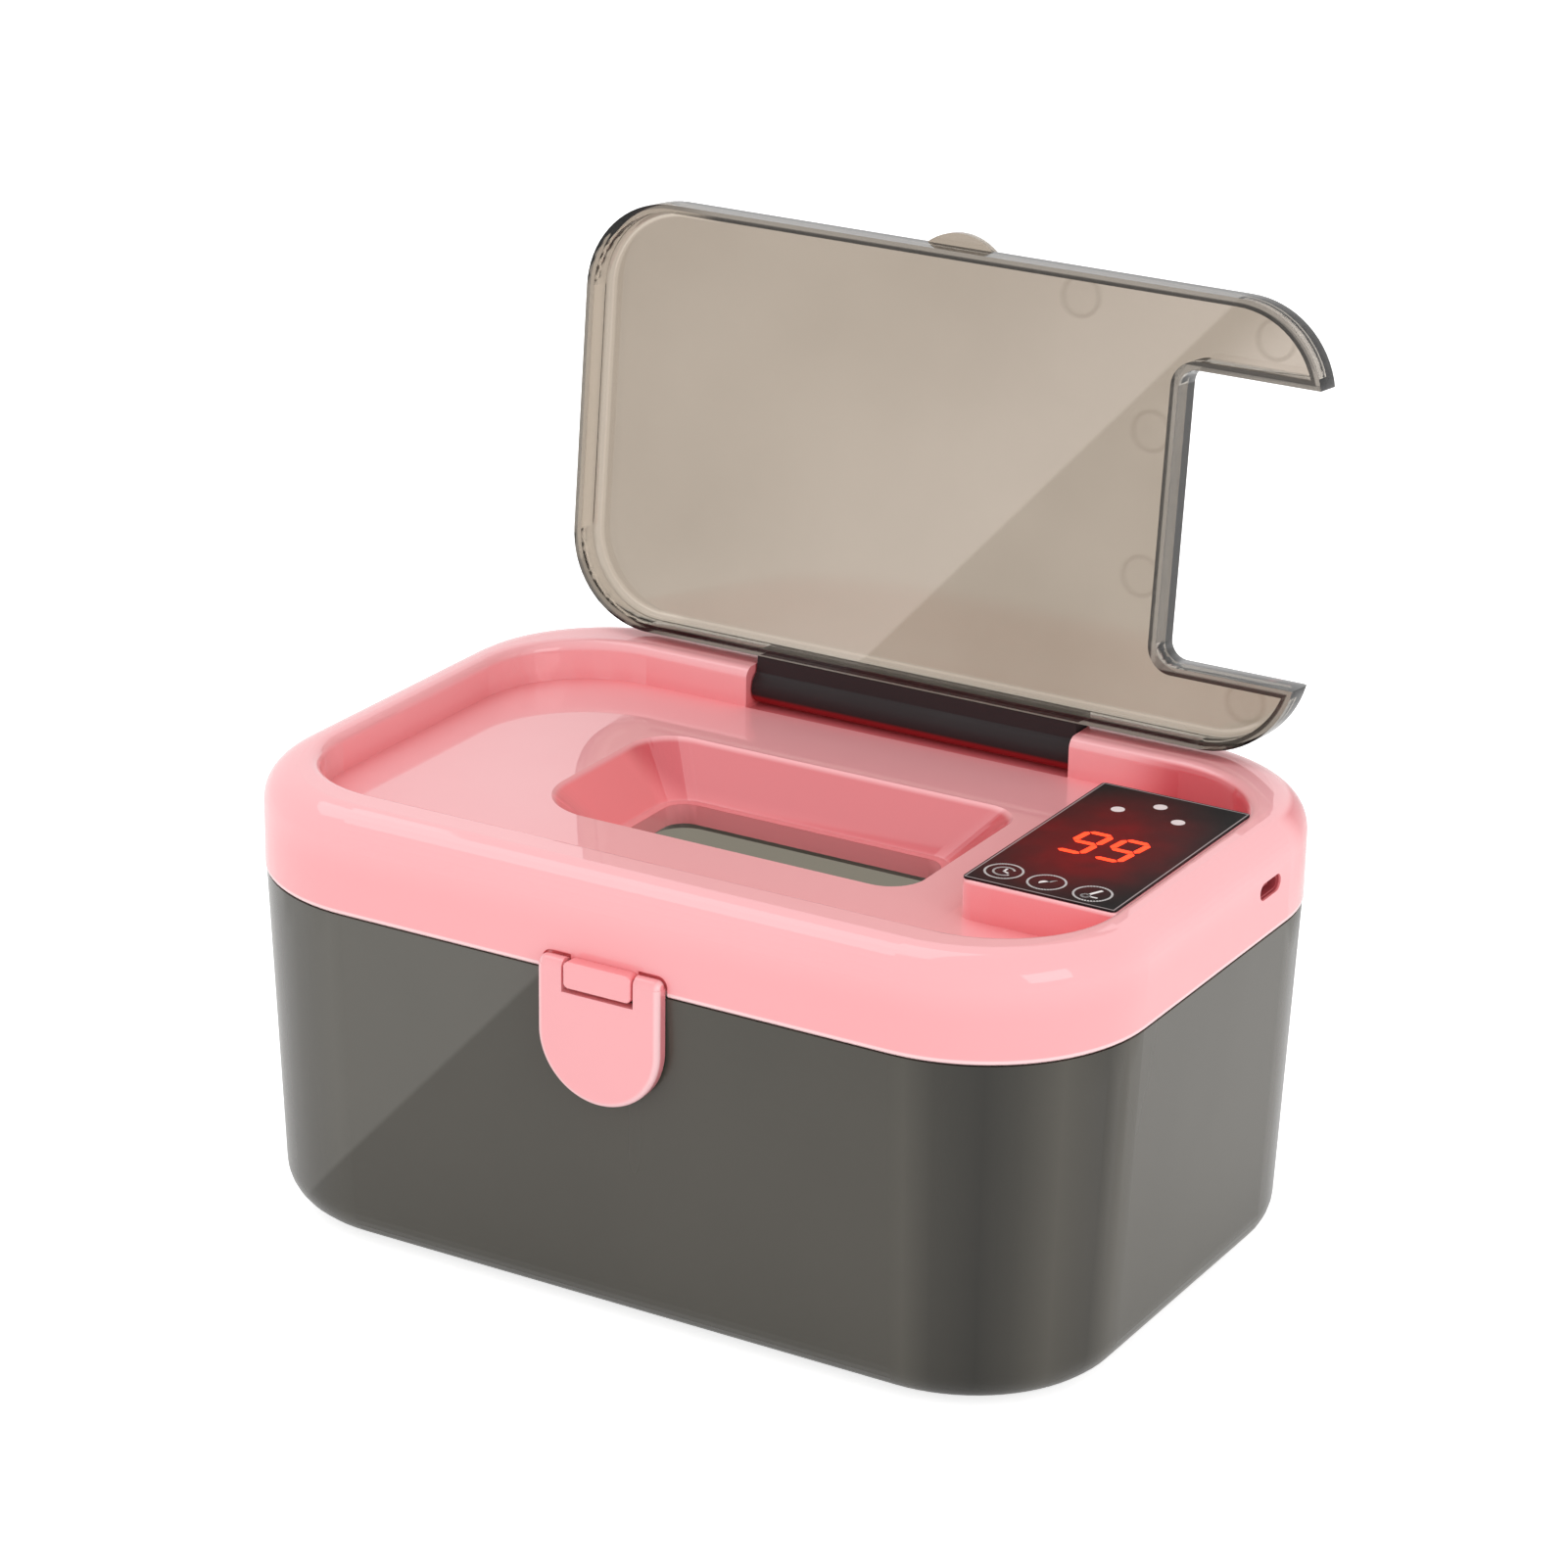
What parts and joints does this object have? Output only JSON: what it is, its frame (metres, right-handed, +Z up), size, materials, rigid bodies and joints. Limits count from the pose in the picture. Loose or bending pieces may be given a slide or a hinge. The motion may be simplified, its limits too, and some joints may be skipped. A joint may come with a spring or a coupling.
{
  "type": "baby wipe warmer",
  "caption": "Box-shaped wipe warmer with a hinged heated cover, a dispensing funnel and slot, a flip lid, a round-ended front latch and a raised touch control block.",
  "frame": {"origin": "centre of the plane that the four rubber feet stand on, midway across the width and depth of the container", "axes": "+X to the right as seen from the latch side, -Y to the front (latch) side, +Z up"},
  "size_m": [0.2, 0.1464, 0.1966],
  "materials": {
    "smoke_plastic": "glossy smoke-grey moulding",
    "pink_plastic": "satin pink moulding",
    "lid_plastic": "glossy pale smoke moulding",
    "hinge_plastic": "glossy dark smoke moulding",
    "dark_rubber": "matt rubber",
    "silicone": "matt silicone",
    "steel": "plain steel",
    "plate_metal": "rolled sheet",
    "film_amber": "amber film over etched foil",
    "foam": "closed-cell foam",
    "dark_plastic": "matt black moulding",
    "white_plastic": "matt off-white moulding",
    "board_green": "solder-masked board",
    "display_red": "numeric display",
    "lamp_red": "indicator lamp",
    "panel_black": "glossy dark film with thin white marks",
    "lead_red": "soft lead insulation",
    "lead_black": "soft lead insulation"
  },
  "bodies": {
    "container": {"container": "smoke_plastic", "rubber_feet": "dark_rubber", "rear_hinge_pins": "steel"},
    "top_cover": {"cover_shell": "pink_plastic", "cover_base": "pink_plastic", "cover_gasket": "silicone", "cover_screws": "steel", "heating_plate": "plate_metal", "heater_film": "film_amber", "insulation_pad": "foam", "heater_screws": "steel", "thermistor": "dark_plastic", "thermal_fuse": "steel", "main_board": "board_green", "board_screws": "steel", "controller_chip": "dark_plastic", "wire_sockets": "white_plastic", "display_module": "display_red", "indicator_lamps": "lamp_red", "touch_pads": "foam", "panel_film": "panel_black", "usb_board": "board_green", "usb_socket": "steel", "heater_leads": "lead_red", "sensor_leads": "lead_black", "usb_leads": "lead_red", "lid_hinge_pin": "steel", "latch_pin": "steel"},
    "flip_lid": {"flip_lid": "lid_plastic", "lid_hinge_barrel": "hinge_plastic"},
    "front_latch": {"latch": "pink_plastic"}
  },
  "joints": [
    {"name": "cover_hinge", "type": "hinge", "parent": "container", "child": "top_cover", "pos_m": [0, 0.07185, 0.07605], "axis": [-1, 0, 0], "range_deg": [0, 100]},
    {"name": "lid_hinge", "type": "hinge", "parent": "top_cover", "child": "flip_lid", "pos_m": [0, 0.0562, 0.0926], "axis": [1, 0, 0], "range_deg": [0, 95.5]},
    {"name": "latch_hinge", "type": "hinge", "parent": "top_cover", "child": "front_latch", "pos_m": [0, -0.06945, 0.0782], "axis": [-1, 0, 0], "range_deg": [0, 100]}
  ]
}
